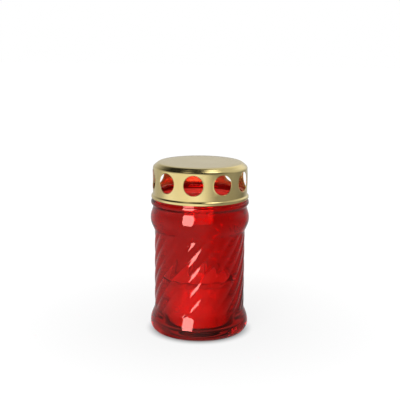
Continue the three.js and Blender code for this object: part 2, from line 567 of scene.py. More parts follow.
@dataclass(frozen=True)
class CottonYarn:
    """Bleached cotton yarn dipped in wax: off-white, matt, with fine fibres along the strands."""

    name: str
    colour: str
    shade: str
    fibre: float = 0.25 * MM

    def material(self) -> bpy.types.Material:
        """Builds the yarn with its fibres as fine streaks."""
        material, tree = new_material(self.name)
        place = add_node(tree, "ShaderNodeTexCoord")
        fibres = add_node(
            tree,
            "ShaderNodeTexNoise",
            inputs={"Vector": place.outputs["Object"], "Scale": 1 / self.fibre, "Detail": 3.0},
        )
        tone = set_ramp(
            add_node(tree, "ShaderNodeValToRGB", inputs={"Fac": fibres.outputs["Fac"]}),
            [(0.3, self.shade), (0.7, self.colour)],
        )
        nap = add_node(
            tree,
            "ShaderNodeBump",
            inputs={"Height": fibres.outputs["Fac"], "Distance": 0.05 * MM},
        )
        return finish_material(
            material,
            tree,
            {
                "Base Color": tone.outputs["Color"],
                "Roughness": 0.75,
                "Sheen Weight": 0.2,
                "Normal": nap.outputs["Normal"],
            },
        )


@dataclass(frozen=True)
class StampedTin:
    """Bare stamped tinplate: a cool grey satin metal with small scuffs from the press."""

    name: str
    colour: str
    roughness: float
    scuff: float = 1.5 * MM

    def material(self) -> bpy.types.Material:
        """Builds the satin metal with scuffed gloss."""
        material, tree = new_material(self.name)
        place = add_node(tree, "ShaderNodeTexCoord")
        scuffs = add_node(
            tree,
            "ShaderNodeTexNoise",
            inputs={"Vector": place.outputs["Object"], "Scale": 1 / self.scuff, "Detail": 5.0},
        )
        gloss = add_node(
            tree,
            "ShaderNodeMapRange",
            inputs={
                "Value": scuffs.outputs["Fac"],
                "To Min": self.roughness * 0.7,
                "To Max": self.roughness * 1.4,
            },
        )
        return finish_material(
            material,
            tree,
            {
                "Base Color": linear(self.colour),
                "Metallic": 1.0,
                "Roughness": gloss.outputs["Result"],
            },
        )


@dataclass(frozen=True)
class HotMeltGlue:
    """Set hot-melt glue: a milky, waxy drop with a soft gloss."""

    name: str
    colour: str

    def material(self) -> bpy.types.Material:
        """Builds the milky glue."""
        material, tree = new_material(self.name)
        place = add_node(tree, "ShaderNodeTexCoord")
        cloud = add_node(
            tree,
            "ShaderNodeTexNoise",
            inputs={"Vector": place.outputs["Object"], "Scale": 1 / (2 * MM), "Detail": 2.0},
        )
        gloss = add_node(
            tree,
            "ShaderNodeMapRange",
            inputs={"Value": cloud.outputs["Fac"], "To Min": 0.3, "To Max": 0.5},
        )
        return finish_material(
            material,
            tree,
            {
                "Base Color": linear(self.colour),
                "Roughness": gloss.outputs["Result"],
                "Subsurface Weight": 0.4,
                "Subsurface Radius": (1.0, 0.9, 0.7),
                "Subsurface Scale": 1.5 * MM,
            },
        )


RUBY_LACQUER = PressedGlass("ruby_lacquer_on_glass", tint="940201", roughness=0.03, gleam="ff9c94")
BARE_GLASS = PressedGlass("bare_pressed_glass", tint="fafcfb", roughness=0.02)
CUP_PLASTIC = PressedGlass("clear_cup_plastic", tint="fbfbfa", roughness=0.12, wave_depth=0.01 * MM)
CAP_GOLD = GoldLacqueredTinplate(
    "gold_lacquered_tinplate", colour="efdb9a", deep_colour="e9d28c", roughness=0.2
)
CANDLE_WAX = CastWax("cast_candle_wax", colour="f7f3ea", cloudy="efe8da")
WICK_COTTON = CottonYarn("braided_cotton", colour="f1ebdc", shade="d9cfb8")
TAB_TIN = StampedTin("stamped_tin", colour="bfc1c2", roughness=0.3)
TAB_GLUE = HotMeltGlue("hot_melt_glue", colour="e6dcc0")


# ---- The jar ----


@dataclass
class GlassJar:
    """The pressed jar: foot, bulge, twist-ribbed body, bulge, groove, seat lip and neck."""

    radius: float
    rim: float
    ribs: int = 20
    columns_per_rib: int = 12
    rib_rows: int = 56
    rib_bottom: float = 16.6 * MM
    rib_top: float = 73.5 * MM
    rib_depth: float = 0.6 * MM
    rib_lead: float = 238 * MM
    rib_phase: float = 13.8
    rib_fade: float = 2.5 * MM
    body_inset: float = 2.85 * MM
    foot_inset: float = 5 * MM
    foot_flat: float = 6 * MM
    foot_bulge: float = 6.4 * MM
    push_up: float = 1.6 * MM
    lacquer_edge: float = 1.6 * MM
    seat_drop: float = 5.3 * MM
    bulge_drop: float = 14.1 * MM
    groove_drop: float = 5.9 * MM
    groove_inset: float = 1.6 * MM
    lip_inset: float = 0.25 * MM
    lip_drop: float = 2.8 * MM
    lip_run: float = 1.35 * MM
    seat_step: float = 0.8 * MM
    seat_run: float = 0.2 * MM
    neck_inset: float = 2.4 * MM
    neck_wall: float = 2.8 * MM
    rim_round: float = 1.3 * MM
    bulge_wall: float = 3.2 * MM
    body_wall: float = 3 * MM
    floor: float = 4.6 * MM
    floor_round: float = 4.4 * MM

    @property
    def body_radius(self) -> float:
        """The radius of the rib crests."""
        return self.radius - self.body_inset

    @property
    def body_bore(self) -> float:
        """The radius of the chamber behind the ribs."""
        return self.body_radius - self.body_wall

    @property
    def neck_bore(self) -> float:
        """The radius of the mouth."""
        return self.radius - self.neck_inset - self.neck_wall

    @property
    def seat(self) -> float:
        """The height that the cap rests at."""
        return self.rim - self.seat_drop

    @property
    def bulge(self) -> float:
        """The height of the upper bulge's widest ring."""
        return self.seat - self.bulge_drop

    @property
    def groove(self) -> float:
        """The height of the groove between the upper bulge and the lip."""
        return self.seat - self.groove_drop

    def outline(self) -> Outline:
        """The whole section, from the middle of the underside up, over the rim and down to the floor."""
        outline = Outline().line(0, self.push_up)
        self._draw_foot(outline)
        outline.line(self.body_radius, self.rib_top, steps=self.rib_rows)
        self._draw_shoulder(outline)
        self._draw_inside(outline)
        return outline

    def _draw_foot(self, outline: Outline) -> None:
        """Adds the hollow underside, the flat that it stands on, and the foot bulge."""
        foot_radius = self.radius - self.foot_inset
        flat_radius = foot_radius - self.foot_flat
        outline.line(flat_radius * 0.35, self.push_up, steps=5)
        outline.curve(
            (flat_radius * 0.7, self.push_up), (flat_radius - 3 * MM, 0), (flat_radius, 0), steps=12
        )
        outline.line(foot_radius, 0, steps=3)
        outline.curve(
            (foot_radius + self.foot_inset * 0.55, 0),
            (self.radius, self.foot_bulge * 0.45),
            (self.radius, self.foot_bulge),
            steps=14,
        )
        rise = self.rib_bottom - self.foot_bulge
        outline.curve(
            (self.radius, self.foot_bulge + rise * 0.36),
            (self.body_radius + self.body_inset * 0.62, self.foot_bulge + rise * 0.56),
            (self.body_radius, self.rib_bottom),
            steps=12,
        )

    def _draw_shoulder(self, outline: Outline) -> None:
        """Adds the upper bulge, the groove, the lip, the seat and the outside of the neck."""
        groove_radius = self.radius - self.groove_inset
        lip_radius = self.radius - self.lip_inset
        neck_radius = self.radius - self.neck_inset
        rise = self.bulge - self.rib_top
        outline.curve(
            (self.body_radius + self.body_inset * 0.55, self.rib_top + rise * 0.42),
            (self.radius, self.rib_top + rise * 0.62),
            (self.radius, self.bulge),
            steps=12,
        )
        rise = self.groove - self.bulge
        outline.curve(
            (self.radius, self.bulge + rise * 0.53),
            (groove_radius, self.bulge + rise * 0.67),
            (groove_radius, self.groove),
            steps=12,
        )
        rise = self.groove_drop - self.lip_drop
        outline.curve(
            (groove_radius, self.groove + rise * 0.45),
            (lip_radius, self.groove + rise * 0.58),
            (lip_radius, self.groove + rise),
            steps=10,
        )
        lip_top = self.seat - self.seat_step
        lip_edge = lip_radius - self.lip_run
        outline.curve(
            (lip_radius, lip_top - (self.lip_drop - self.seat_step) * 0.4),
            (lip_radius - self.lip_run * 0.4, lip_top),
            (lip_edge, lip_top),
            steps=8,
        )
        outline.line(lip_edge - self.seat_run, self.seat, steps=2)
        outline.line(neck_radius, self.seat, steps=2)
        outline.line(neck_radius, self.rim - self.rim_round, steps=4)

    def _draw_inside(self, outline: Outline) -> None:
        """Adds the rounded rim, the mouth, the chamber and its floor, in to the axis."""
        crest = self.neck_bore + self.neck_wall / 2
        half = self.neck_wall / 2
        straight = self.rim - self.rim_round
        slope = self.rim - self.rim_round * 0.35
        outline.curve((crest + half, slope), (crest + half * 0.65, self.rim), (crest, self.rim), steps=6)
        outline.curve(
            (crest - half * 0.65, self.rim), (crest - half, slope), (crest - half, straight), steps=6
        )
        outline.line(self.neck_bore, self.groove + 1 * MM, steps=5)
        bulge_bore = self.radius - self.bulge_wall
        rise = self.groove - self.bulge
        outline.curve(
            (self.neck_bore, self.bulge + rise * 0.6),
            (bulge_bore, self.bulge + rise * 0.5),
            (bulge_bore, self.bulge),
            steps=10,
        )
        rise = self.bulge - self.rib_top
        outline.curve(
            (bulge_bore, self.rib_top + rise * 0.55),
            (self.body_bore, self.rib_top + rise * 0.45),
            (self.body_bore, self.rib_top),
            steps=10,
        )
        outline.line(self.body_bore, self.floor + self.floor_round, steps=24)
        outline.curve(
            (self.body_bore, self.floor + self.floor_round * 0.45),
            (self.body_bore - self.floor_round * 0.55, self.floor),
            (self.body_bore - self.floor_round, self.floor),
            steps=10,
        )
        outline.line(0, self.floor, steps=8)

    def _flute_weight(self, place: Vector) -> float:
        """How deep the flute is at a point: 0 on a crest and off the ribs, 1 in a valley."""
        if math.hypot(place.x, place.y) < self.body_radius - self.body_wall / 2:
            return 0.0
        from_end = min(place.z - self.rib_bottom, self.rib_top - place.z) / self.rib_fade
        strength = min(1.0, max(0.0, from_end))
        strength = strength * strength * (3 - 2 * strength)
        azimuth = math.atan2(place.x, -place.y)
        return strength * (1 - abs(math.cos(azimuth * self.ribs / 2)))

    def _cut_flutes(self, piece: bpy.types.Object) -> None:
        """Sinks the flutes between the ribs into the outside, straight up and down."""
        group = piece.vertex_groups.new(name="flutes")
        for vertex in piece.data.vertices:
            weight = self._flute_weight(vertex.co)
            if weight > 0:
                group.add([vertex.index], weight, "REPLACE")
        apply_modifier(
            piece,
            "DISPLACE",
            vertex_group=group.name,
            strength=-self.rib_depth,
            mid_level=0.0,
            direction="NORMAL",
        )
        piece.vertex_groups.remove(piece.vertex_groups["flutes"])

    def _twist_ribs(self, piece: bpy.types.Object) -> None:
        """Twists the ribs into right-handed helices and brings a crest to its place."""
        turn = 2 * math.pi / self.rib_lead
        apply_modifier(
            piece,
            "SIMPLE_DEFORM",
            deform_method="TWIST",
            deform_axis="Z",
            angle=turn * (self.rib_top - self.rib_bottom),
            limits=(self.rib_bottom / self.rim, self.rib_top / self.rim),
        )
        turn_object(piece, math.radians(self.rib_phase) - turn * self.rib_bottom)

    def build(self) -> bpy.types.Object:
        """Turns the whole wall, cuts its flutes and twists them.

        Returns:
            The jar, a closed solid wall.
        """
        piece = turn_outline("pressed_jar", self.outline(), self.ribs * self.columns_per_rib)
        self._cut_flutes(piece)
        self._twist_ribs(piece)
        make_active(piece)
        bpy.ops.object.shade_smooth_by_angle(angle=math.radians(50))
        return piece

    def slot_at(self, centre: Vector) -> int:
        """Which glass a face has: 0 for the lacquered outside, 1 for bare glass."""
        radius = math.hypot(centre.x, centre.y)
        chamber = radius < self._wall_middle(centre.z) and centre.z > (self.floor + self.push_up) / 2
        return 1 if chamber or centre.z < self.lacquer_edge else 0

    def _wall_middle(self, height: float) -> float:
        """A radius that lies inside the glass wall at a height."""
        neck_middle = self.neck_bore + self.neck_wall / 2
        if height > self.groove:
            return neck_middle
        bulge_middle = self.radius - self.bulge_wall / 2
        body_middle = self.body_bore + self.body_wall / 2
        if height > self.bulge:
            share = (height - self.bulge) / (self.groove - self.bulge)
            return bulge_middle + (neck_middle - bulge_middle) * share
        share = min(1.0, max(0.0, (height - self.rib_top) / (self.bulge - self.rib_top)))
        return body_middle + (bulge_middle - body_middle) * share

    def dress(self, piece: bpy.types.Object) -> None:
        """Lacquers the outside and leaves the inside and the underside bare."""
        paint_faces(piece, [RUBY_LACQUER.material(), BARE_GLASS.material()], self.slot_at)


# ---- The cap ----


@dataclass
class VentedCap:
    """The drawn cap: a flat top, a sloping shoulder, a pierced skirt and a curled edge."""

    edge: float
    top: float
    bottom: float
    sheet: float = 0.35 * MM
    vents: int = 10
    vent_radius: float = 7.1 * MM
    vent_height: float = 13.7 * MM
    vent_cells: int = 16
    panel_columns: int = 24
    flare_width: float = 0.24 * MM
    flare_proud: float = 0.16 * MM
    shoulder_run: float = 4.1 * MM
    shoulder_drop: float = 4.1 * MM
    bead_height: float = 3 * MM
    bead_proud: float = 1.1 * MM
    curl: float = 0.52 * MM
    cut_round: float = 0.07 * MM

    @property
    def radius(self) -> float:
        """The skirt's outer radius, inside its bead."""
        return self.edge - self.bead_proud

    @property
    def panel_width(self) -> float:
        """One vent's share of the way round the skirt."""
        return 2 * math.pi * self.radius / self.vents

    @property
    def cell(self) -> float:
        """The size of a panel's square faces."""
        return self.panel_width / self.panel_columns

    @property
    def skirt_top(self) -> float:
        """The height at which the skirt starts to round over into the shoulder."""
        return self.top - self.shoulder_drop

    def _panel(self) -> bpy.types.Object:
        """Makes one flat panel of the skirt, facing -Y, with a round vent through it."""
        rows = self.vent_cells + 2
        deselect_all()
        bpy.ops.mesh.primitive_grid_add(
            x_subdivisions=self.panel_columns, y_subdivisions=rows, size=1, rotation=(math.pi / 2, 0, 0)
        )
        panel = bpy.context.object
        panel.name = panel.data.name = "drawn_cap"
        panel.scale = (self.panel_width, rows * self.cell, 1)
        bpy.ops.object.transform_apply(location=True, rotation=True, scale=True)
        half = self.vent_cells / 2 * self.cell
        select_where(panel, lambda place: max(abs(place.x), abs(place.z)) < half, "FACE")
        bpy.ops.mesh.delete(type="FACE")
        self._round_vent(panel, half)
        self._fit_panel(panel, rows / 2 * self.cell)
        return panel

    def _round_vent(self, panel: bpy.types.Object, half: float) -> None:
        """Draws the square hole round, eases the faces about it and flares its edge.

        Args:
            panel: the flat panel, in edit mode.
            half: half of the square hole's side.
        """
        outer = self.vent_radius + self.flare_width

        def on_hole(place: Vector) -> bool:
            return max(abs(place.x), abs(place.z)) < half + 0.1 * self.cell

        select_where(panel, on_hole)
        bpy.ops.transform.tosphere(value=1.0)
        bpy.ops.object.mode_set(mode="OBJECT")
        drawn = min(math.hypot(v.co.x, v.co.z) for v in panel.data.vertices if v.select)
        bpy.ops.object.mode_set(mode="EDIT")
        scale = outer / drawn
        bpy.ops.transform.resize(value=(scale, 1, scale), center_override=(0, 0, 0))
        edge_x = self.panel_width / 2 - 0.1 * self.cell
        edge_z = (self.vent_cells / 2 + 0.9) * self.cell

        def between(place: Vector) -> bool:
            free = abs(place.x) < edge_x and abs(place.z) < edge_z
            return free and math.hypot(place.x, place.z) > outer + 0.02 * self.cell

        select_where(panel, between)
        bpy.ops.mesh.select_mode(type="VERT")
        bpy.ops.mesh.vertices_smooth(factor=0.5, repeat=12)
        select_where(panel, lambda place: math.hypot(place.x, place.z) < outer + 0.02 * self.cell)
        steps = 3
        for step in range(1, steps + 1):
            before = outer - self.flare_width * (step - 1) / steps
            after = outer - self.flare_width * step / steps
            rise = self.flare_proud * ((step / steps) ** 2 - ((step - 1) / steps) ** 2)
            bpy.ops.mesh.extrude_edges_move(TRANSFORM_OT_translate={"value": (0, -rise, 0)})
            bpy.ops.transform.resize(
                value=(after / before, 1, after / before), center_override=(0, 0, 0)
            )

    def _fit_panel(self, panel: bpy.types.Object, half_height: float) -> None:
        """Raises the panel to the vents' height, and takes its edges to the shoulder and the bead.

        Args:
            panel: the flat panel, in edit mode.
            half_height: half of the panel's height.
        """
        centre = self.bottom + self.vent_height
        bpy.ops.mesh.select_all(action="SELECT")
        bpy.ops.transform.translate(value=(0, 0, centre))
        near = 0.1 * self.cell
        select_where(panel, lambda place: place.z > centre + half_height - near)
        bpy.ops.transform.translate(value=(0, 0, self.skirt_top - centre - half_height))
        select_where(panel, lambda place: place.z < centre - half_height + near)
        drop = centre - half_height - (self.bottom + self.bead_height)
        steps = 4
        for _ in range(steps):
            bpy.ops.mesh.extrude_edges_move(TRANSFORM_OT_translate={"value": (0, 0, -drop / steps)})
        bpy.ops.object.mode_set(mode="OBJECT")

    def _bend_round(self, panel: bpy.types.Object) -> None:
        """Repeats the panel once for each vent and bends the strip into a ring about the axis."""
        make_active(panel)
        panel.location.x = -self.panel_width * self.vents / 2
        bpy.ops.object.transform_apply(location=True, rotation=True, scale=True)
        apply_modifier(
            panel,
            "ARRAY",
            count=self.vents,
            use_relative_offset=False,
            use_constant_offset=True,
            constant_offset_displace=(self.panel_width, 0, 0),
            use_merge_vertices=True,
            merge_threshold=0.01 * MM,
        )
        apply_modifier(
            panel, "SIMPLE_DEFORM", deform_method="BEND", deform_axis="Z", angle=2 * math.pi
        )
        panel.location.y = -self.radius
        bpy.ops.object.transform_apply(location=True, rotation=True, scale=True)
        bpy.ops.object.mode_set(mode="EDIT")
        bpy.ops.mesh.select_mode(type="VERT")
        bpy.ops.mesh.select_all(action="SELECT")
        bpy.ops.mesh.remove_doubles(threshold=0.02 * MM)

    def shoulder_outline(self) -> Outline:
        """The cap's outside from the skirt up over the shoulder and in over the top."""
        edge = self.radius - self.shoulder_run
        outline = Outline().line(self.radius, self.skirt_top)
        outline.curve(
            (self.radius, self.skirt_top + self.shoulder_drop * 0.28),
            (self.radius - self.shoulder_run * 0.16, self.skirt_top + self.shoulder_drop * 0.42),
            (self.radius - self.shoulder_run * 0.34, self.skirt_top + self.shoulder_drop * 0.56),
            steps=8,
        )
        outline.curve(
            (self.radius - self.shoulder_run * 0.55, self.skirt_top + self.shoulder_drop * 0.72),
            (edge + self.shoulder_run * 0.22, self.top - 0.15 * MM),
            (edge, self.top),
            steps=8,
        )
        for share in (0.8, 0.6, 0.4, 0.2, 0.02):
            outline.line(edge * share, self.top)
        return outline

    def bead_outline(self) -> Outline:
        """The cap's outside from the skirt down over the bead and round its curled hem."""
        start = self.bottom + self.bead_height
        proud = self.radius + self.bead_proud
        outline = Outline().line(self.radius, start)
        outline.curve(
            (self.radius, start - 0.35 * MM),
            (self.radius + self.bead_proud * 0.25, start - 0.45 * MM),
            (self.radius + self.bead_proud * 0.6, start - 0.8 * MM),
            steps=6,
        )
        outline.curve(
            (proud, start - 1.15 * MM), (proud, start - 1.4 * MM), (proud, self.bottom + self.curl), steps=8
        )
        outline.arc((proud - self.curl, self.bottom + self.curl), self.curl, 0, -180, steps=12)
        outline.line(proud - 2 * self.curl, self.bottom + 1.8 * MM, steps=2)
        return outline

    def build(self) -> bpy.types.Object:
        """Makes the panels, bends them round, draws the shoulder, top and bead, and gives them a wall.

        Returns:
            The cap, a closed shell of sheet metal.
        """
        cap = self._panel()
        self._bend_round(cap)
        shoulder = self.shoulder_outline().points
        select_where(cap, lambda place: place.z > self.skirt_top - 0.01 * MM)
        follow_rings(shoulder)
        bpy.ops.mesh.extrude_edges_move(TRANSFORM_OT_translate={"value": (0, 0, 0)})
        bpy.ops.mesh.merge(type="CENTER")
        bead = self.bead_outline().points
        select_where(cap, lambda place: place.z < bead[0][1] + 0.01 * MM)
        follow_rings(bead)
        finish_mesh(cap)
        self._face_outwards(cap)
        apply_modifier(cap, "SOLIDIFY", thickness=self.sheet, offset=-1, use_even_offset=True)
        apply_modifier(
            cap,
            "BEVEL",
            width=self.cut_round,
            segments=2,
            limit_method="ANGLE",
            angle_limit=math.radians(60),
        )
        make_active(cap)
        bpy.ops.object.shade_smooth_by_angle(angle=math.radians(45))
        return cap

    def _face_outwards(self, cap: bpy.types.Object) -> None:
        """Flips the open shell if its top faces downwards."""
        highest = max(cap.data.polygons, key=lambda polygon: polygon.center.z)
        if highest.normal.z < 0:
            bpy.ops.object.mode_set(mode="EDIT")
            bpy.ops.mesh.select_all(action="SELECT")
            bpy.ops.mesh.flip_normals()
            bpy.ops.object.mode_set(mode="OBJECT")

    def dress(self, piece: bpy.types.Object) -> None:
        """Gives the cap its gold lacquer."""
        paint_faces(piece, [CAP_GOLD.material()])


# ---- The candle insert ----


@dataclass
class CandleInsert:
    """The refill that stands in the jar: a clear cup of wax, and a wick held by a glued tab."""

    cup_low: Vector
    cup_high: Vector
    wax_low: Vector
    wax_high: Vector
    wick_low: Vector
    wick_high: Vector
    tab_low: Vector
    tab_high: Vector
    glue_low: Vector
    glue_high: Vector
    cup_wall: float = 0.6 * MM
    flange: float = 1 * MM
    flange_thickness: float = 0.8 * MM
    draft: float = 0.4 * MM
    foot_round: float = 1.1 * MM
    wick_gap: float = 0.3 * MM
    meniscus: float = 0.7 * MM
    tube_radius: float = 1.9 * MM
    tube_wall: float = 0.4 * MM
    tab_thickness: float = 0.3 * MM
    strands: int = 3
    strand_rings: int = 130
    lay: float = 5.5 * MM
    columns: int = 96

    @property
    def wick_radius(self) -> float:
        """The radius of the laid-up wick."""
        return self.wick_high.x

    def cup(self) -> bpy.types.Object:
        """Turns the clear cup: a foot ring, a drafted wall, a stacking step and a curled flange.

        Returns:
            The cup, a closed shell.
        """
        low = self.cup_low.z
        high = self.cup_high.z
        rim = self.cup_high.x
        wall = rim - self.flange
        foot = wall - self.draft
        inner = wall - self.cup_wall
        foot_ring = foot - 3 * MM
        outline = Outline().line(0, low + 0.25 * MM).line(foot_ring - 0.6 * MM, low + 0.25 * MM, steps=4)
        outline.line(foot_ring, low).line(foot - self.foot_round, low, steps=2)
        outline.curve(
            (foot - self.foot_round * 0.45, low),
            (foot, low + self.foot_round * 0.45),
            (foot, low + self.foot_round),
            steps=6,
        )
        outline.line(wall, high - self.flange_thickness - 0.5 * MM, steps=8)
        outline.line(wall + 0.3 * MM, high - self.flange_thickness)
        outline.line(rim - 0.35 * MM, high - self.flange_thickness)
        half = self.flange_thickness / 2
        outline.arc((rim - 0.35 * MM, high - half), half, -90, 90, 8)
        outline.line(inner + 0.3 * MM, high)
        outline.curve((inner + 0.1 * MM, high), (inner, high - 0.1 * MM), (inner, high - 0.4 * MM), steps=3)
        inner_foot = foot - self.cup_wall
        floor = low + self.cup_wall
        outline.line(inner_foot, floor + self.foot_round, steps=8)
        outline.curve(
            (inner_foot, floor + self.foot_round * 0.4),
            (inner_foot - self.foot_round * 0.4, floor),
            (inner_foot - self.foot_round, floor),
            steps=6,
        )
        outline.line(0, floor, steps=6)
        return turn_outline("clear_cup", outline, self.columns)

    def wax(self) -> bpy.types.Object:
        """Turns the cast wax: a fill that creeps up its cup and sinks a little round the wick.

        Returns:
            The wax, closed, with the wick's bore through it.
        """
        bore = self.wick_radius + self.wick_gap
        socket = self.tab_high.x + self.wick_gap
        low = self.wax_low.z
        high = self.wax_high.z
        wall_top = self.wax_high.x
        wall_foot = wall_top - self.draft
        well = self.tab_low.z + self.tab_thickness + self.wick_gap
        tube_top = self.tab_high.z + self.wick_gap
        tube_side = self.tube_radius + self.wick_gap
        outline = Outline().line(bore, tube_top).line(tube_side, tube_top)
        outline.line(tube_side, well, steps=3).line(socket, well, steps=3).line(socket, low, steps=2)
        outline.line(wall_foot - self.foot_round, low, steps=4)
        outline.curve(
            (wall_foot - self.foot_round * 0.4, low),
            (wall_foot, low + self.foot_round * 0.4),
            (wall_foot, low + self.foot_round),
            steps=6,
        )
        outline.line(wall_top, high, steps=10)
        level = high - self.meniscus
        outline.curve(
            (wall_top - 0.5 * MM, level + 0.1 * MM),
            (wall_top - 1.2 * MM, level),
            (wall_top - 3 * MM, level),
            steps=8,
        )
        outline.curve(
            (wall_top * 0.55, level),
            (wall_top * 0.4, level - 0.25 * MM),
            (wall_top * 0.2, level - 0.5 * MM),
            steps=8,
        )
        outline.curve(
            (bore + 1.4 * MM, level - 0.65 * MM),
            (bore + 0.5 * MM, level - 0.4 * MM),
            (bore, level + 0.2 * MM),
            steps=6,
        )
        outline.line(bore, tube_top, steps=8)
        return turn_outline("cast_wax", outline, self.columns)

    def wick(self) -> bpy.types.Object:
        """Lays three strands of yarn side by side and twists them into one wick.

        Returns:
            The wick, three closed strands.
        """
        strand = self.wick_radius * 0.53
        offset = self.wick_radius - strand
        height = self.wick_high.z - self.wick_low.z
        middle = (self.wick_high.z + self.wick_low.z) / 2
        parts = []
        for index in range(self.strands):
            angle = 2 * math.pi * index / self.strands
            place = (offset * math.cos(angle), offset * math.sin(angle), middle)
            deselect_all()
            bpy.ops.mesh.primitive_cylinder_add(vertices=10, radius=strand, depth=height, location=place)
            part = bpy.context.object
            bpy.ops.object.transform_apply(location=True, rotation=True, scale=True)
            self._round_strand(part)
            parts.append(part)
        deselect_all()
        for part in parts:
            part.select_set(True)
        wick = parts[0]
        bpy.context.view_layer.objects.active = wick
        bpy.ops.object.join()
        wick.name = wick.data.name = "twisted_wick"
        twist = 2 * math.pi * height / self.lay
        apply_modifier(wick, "SIMPLE_DEFORM", deform_method="TWIST", deform_axis="Z", angle=twist)
        finish_mesh(wick)
        return wick

    def _round_strand(self, part: bpy.types.Object) -> None:
        """Rounds a strand's cut ends and cuts its length into rings for the twist."""
        low = self.wick_low.z
        high = self.wick_high.z
        near = 0.01 * MM
        for end in (low, high):
            select_where(part, lambda place, end=end: abs(place.z - end) < near, "FACE")
            bpy.ops.mesh.inset(thickness=0.2 * MM)
            bpy.ops.transform.translate(value=(0, 0, 0.12 * MM if end == high else -0.12 * MM))
        bpy.ops.mesh.select_mode(type="EDGE")
        bpy.ops.mesh.select_all(action="DESELECT")
        bpy.ops.object.mode_set(mode="OBJECT")
        for edge in part.data.edges:
            first, second = (part.data.vertices[index].co for index in edge.vertices)
            edge.select = abs(first.z - second.z) > (high - low) / 2
        bpy.ops.object.mode_set(mode="EDIT")
        bpy.ops.mesh.subdivide(number_cuts=self.strand_rings)
        bpy.ops.object.mode_set(mode="OBJECT")

    def tab(self) -> bpy.types.Object:
        """Turns the stamped tab: a flat disc and the tube that grips the wick.

        Returns:
            The tab, a closed sheet.
        """
        low = self.tab_low.z
        sheet = self.tab_thickness
        rim = self.tab_high.x
        bore = self.tube_radius - self.tube_wall
        outline = Outline().line(bore, low).line(rim, low, steps=6)
        outline.line(rim, low + sheet)
        outline.line(self.tube_radius + 0.5 * MM, low + sheet, steps=6)
        outline.curve(
            (self.tube_radius + 0.1 * MM, low + sheet),
            (self.tube_radius, low + sheet + 0.1 * MM),
            (self.tube_radius, low + sheet + 0.5 * MM),
            steps=5,
        )
        top = self.tab_high.z
        outline.line(self.tube_radius, top - 0.15 * MM, steps=4)
        outline.line(self.tube_radius - 0.12 * MM, top).line(bore + 0.05 * MM, top)
        outline.line(bore, low, steps=4)
        return turn_outline("stamped_tab", outline, 48, smooth_angle=35)

    def glue(self) -> bpy.types.Object:
        """Turns the glue: a flat drop pressed out between the tab and the cup.

        Returns:
            The drop, closed.
        """
        radius = self.glue_high.x
        low = self.glue_low.z
        half = (self.glue_high.z - low) / 2
        outline = Outline().line(0, low).line(radius - half, low, steps=4)
        outline.arc((radius - half, low + half), half, -90, 90, steps=8)
        outline.line(0, low + 2 * half, steps=4)
        return turn_outline("glue_drop", outline, 40)

    def build(self) -> None:
        """Makes, dresses and hands over every piece of the insert."""
        made = [
            (self.cup(), CUP_PLASTIC.material(), "insert_cup", "clear_plastic"),
            (self.wax(), CANDLE_WAX.material(), "wax_fill", "wax"),
            (self.wick(), WICK_COTTON.material(), "wick", "cotton"),
            (self.tab(), TAB_TIN.material(), "wick_tab", "tin"),
            (self.glue(), TAB_GLUE.material(), "glue_dot", "hot_glue"),
        ]
        for piece, material, node, slot in made:
            paint_faces(piece, [material])
            hand_over(piece, Body.CANDLE, node)


# ---- The studio ----


@dataclass(frozen=True)
class SoftBox:
    """A rectangular diffused lamp, aimed at the middle of the piece.

    Its azimuth is from the camera's own, towards the right. It lights its receivers alone, or
    everything where it names none, and shows in gloss only where it is mirrored.
    """

    name: str
    azimuth: float
    elevation: float
    distance: float
    width: float
    height: float
    radiance: float
    mirrored: bool = True
    receivers: tuple[str, ...] = ()

    def place(self, aim: Vector, camera_azimuth: float) -> None:
        """Sets the soft box up.

        Args:
            aim: the point that it faces.
            camera_azimuth: the camera's own azimuth, in degrees.
        """
        azimuth = math.radians(self.azimuth + camera_azimuth)
        elevation = math.radians(self.elevation)
        level = math.cos(elevation)
        away = Vector((math.sin(azimuth) * level, -math.cos(azimuth) * level, math.sin(elevation)))
        deselect_all()
        bpy.ops.object.light_add(type="AREA", location=aim + away * self.distance)
        lamp = bpy.context.object
        lamp.name = self.name
        lamp.rotation_euler = away.to_track_quat("Z", "Y").to_euler()
        lamp.data.shape = "RECTANGLE"
        lamp.data.size = self.width
        lamp.data.size_y = self.height
        lamp.data.energy = self.radiance * self.width * self.height * math.pi
        lamp.visible_glossy = self.mirrored
        if self.receivers:
            lit = bpy.data.collections.new(f"{self.name}_lights")
            for name in self.receivers:
                lit.objects.link(bpy.data.objects[name])
            lamp.light_linking.receiver_collection = lit


@dataclass(frozen=True)
class Wall:
    """A broad glow in the room round one direction; the azimuth is from the camera's own."""

    azimuth: float
    elevation: float
    spread: float
    radiance: float

    def strength(
        self, tree: bpy.types.NodeTree, view: bpy.types.NodeSocket, turned: float
    ) -> bpy.types.NodeSocket:
        """Works out the glow in a direction: full at its middle and none past its spread.

        Args:
            tree: the world's node tree.
            view: the direction looked in.
            turned: the camera's own azimuth, in degrees.

        Returns:
            The socket that holds the glow.
        """
        azimuth = math.radians(self.azimuth + turned)
        elevation = math.radians(self.elevation)
        level = math.cos(elevation)
        middle = (math.sin(azimuth) * level, -math.cos(azimuth) * level, math.sin(elevation))
        facing = add_node(
            tree, "ShaderNodeVectorMath", settings={"operation": "DOT_PRODUCT"}, inputs={0: view, 1: middle}
        )
        glow = add_node(
            tree,
            "ShaderNodeMapRange",
            settings={"interpolation_type": "SMOOTHSTEP"},
            inputs={
                "Value": facing.outputs["Value"],
                "From Min": math.cos(math.radians(self.spread)),
                "From Max": 1.0,
                "To Min": 0.0,
                "To Max": self.radiance,
            },
        )
        return glow.outputs["Result"]


